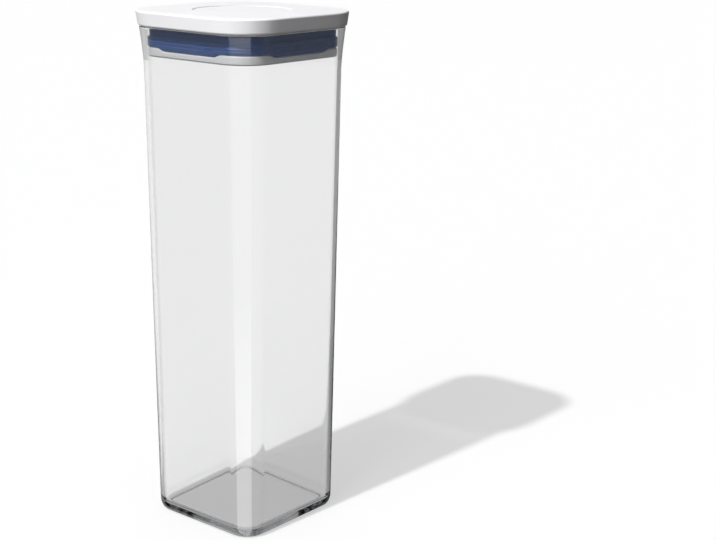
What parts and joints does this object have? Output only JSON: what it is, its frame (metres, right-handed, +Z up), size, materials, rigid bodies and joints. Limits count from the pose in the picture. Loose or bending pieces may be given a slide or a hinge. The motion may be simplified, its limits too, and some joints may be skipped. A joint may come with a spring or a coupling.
{
  "type": "airtight food storage container",
  "caption": "Tall clear square food storage container with a white push-button lid whose gasket is squeezed outwards to seal the mouth; the lid lifts off.",
  "frame": {"origin": "centre of the foot, on the surface that the container stands on", "axes": "+Z up through the lid; +X and -Y square to the two flat sides that the picture shows"},
  "size_m": [0.108, 0.108, 0.322],
  "materials": {
    "clear_plastic": "clear, polished",
    "white_plastic": "satin",
    "lid_inner_plastic": "satin",
    "silicone": "smooth, slightly glossy",
    "bearing_plastic": "satin",
    "steel": "bright"
  },
  "bodies": {
    "container": {"container_body": "clear_plastic"},
    "lid": {"lid_cap": "white_plastic", "lid_housing": "lid_inner_plastic", "gasket": "silicone", "guide_post": "bearing_plastic", "spring_washer": "steel", "return_spring": "steel", "pin_front_right": "steel", "pin_back_right": "steel", "pin_back_left": "steel", "pin_front_left": "steel"},
    "button": {"button_cap": "white_plastic", "button_plunger": "bearing_plastic"},
    "plate": {"squeeze_plate": "lid_inner_plastic"},
    "rotor": {"latch_rotor": "bearing_plastic", "latch_pin": "steel"},
    "lever_front_right": {"lever_front_right": "bearing_plastic"},
    "lever_back_right": {"lever_back_right": "bearing_plastic"},
    "lever_back_left": {"lever_back_left": "bearing_plastic"},
    "lever_front_left": {"lever_front_left": "bearing_plastic"}
  },
  "joints": [
    {"name": "lid_lift", "type": "slide", "parent": "container", "child": "lid", "axis": [0, 0, 1], "range_m": [0, 0.06]},
    {"name": "button_pop", "type": "slide", "parent": "lid", "child": "button", "axis": [0, 0, 1], "range_m": [0, 0.012], "deforming": ["return_spring"]},
    {"name": "plate_drop", "type": "slide", "parent": "lid", "child": "plate", "axis": [0, 0, -1], "range_m": [0, 0.00215]},
    {"name": "rotor_turn", "type": "hinge", "parent": "button", "child": "rotor", "pos_m": [0, 0, 0.305], "axis": [0, 0, 1], "range_deg": [0, 45.1]},
    {"name": "tilt_front_right", "type": "hinge", "parent": "lid", "child": "lever_front_right", "pos_m": [0.02503, -0.02503, 0.3055], "axis": [0.7071, 0.7071, 0], "range_deg": [0, 27.6]},
    {"name": "tilt_back_right", "type": "hinge", "parent": "lid", "child": "lever_back_right", "pos_m": [0.02503, 0.02503, 0.3055], "axis": [-0.7071, 0.7071, 0], "range_deg": [0, 27.6]},
    {"name": "tilt_back_left", "type": "hinge", "parent": "lid", "child": "lever_back_left", "pos_m": [-0.02503, 0.02503, 0.3055], "axis": [-0.7071, -0.7071, 0], "range_deg": [0, 27.6]},
    {"name": "tilt_front_left", "type": "hinge", "parent": "lid", "child": "lever_front_left", "pos_m": [-0.02503, -0.02503, 0.3055], "axis": [0.7071, -0.7071, 0], "range_deg": [0, 27.6]}
  ],
  "couplings": [
    {"joint": "plate_drop", "follows": "button_pop", "ratio": 0.17857},
    {"joint": "rotor_turn", "follows": "button_pop", "rad_per_m": 65.45},
    {"joint": "tilt_front_right", "follows": "button_pop", "rad_per_m": 40.067},
    {"joint": "tilt_back_right", "follows": "button_pop", "rad_per_m": 40.067},
    {"joint": "tilt_back_left", "follows": "button_pop", "rad_per_m": 40.067},
    {"joint": "tilt_front_left", "follows": "button_pop", "rad_per_m": 40.067}
  ]
}
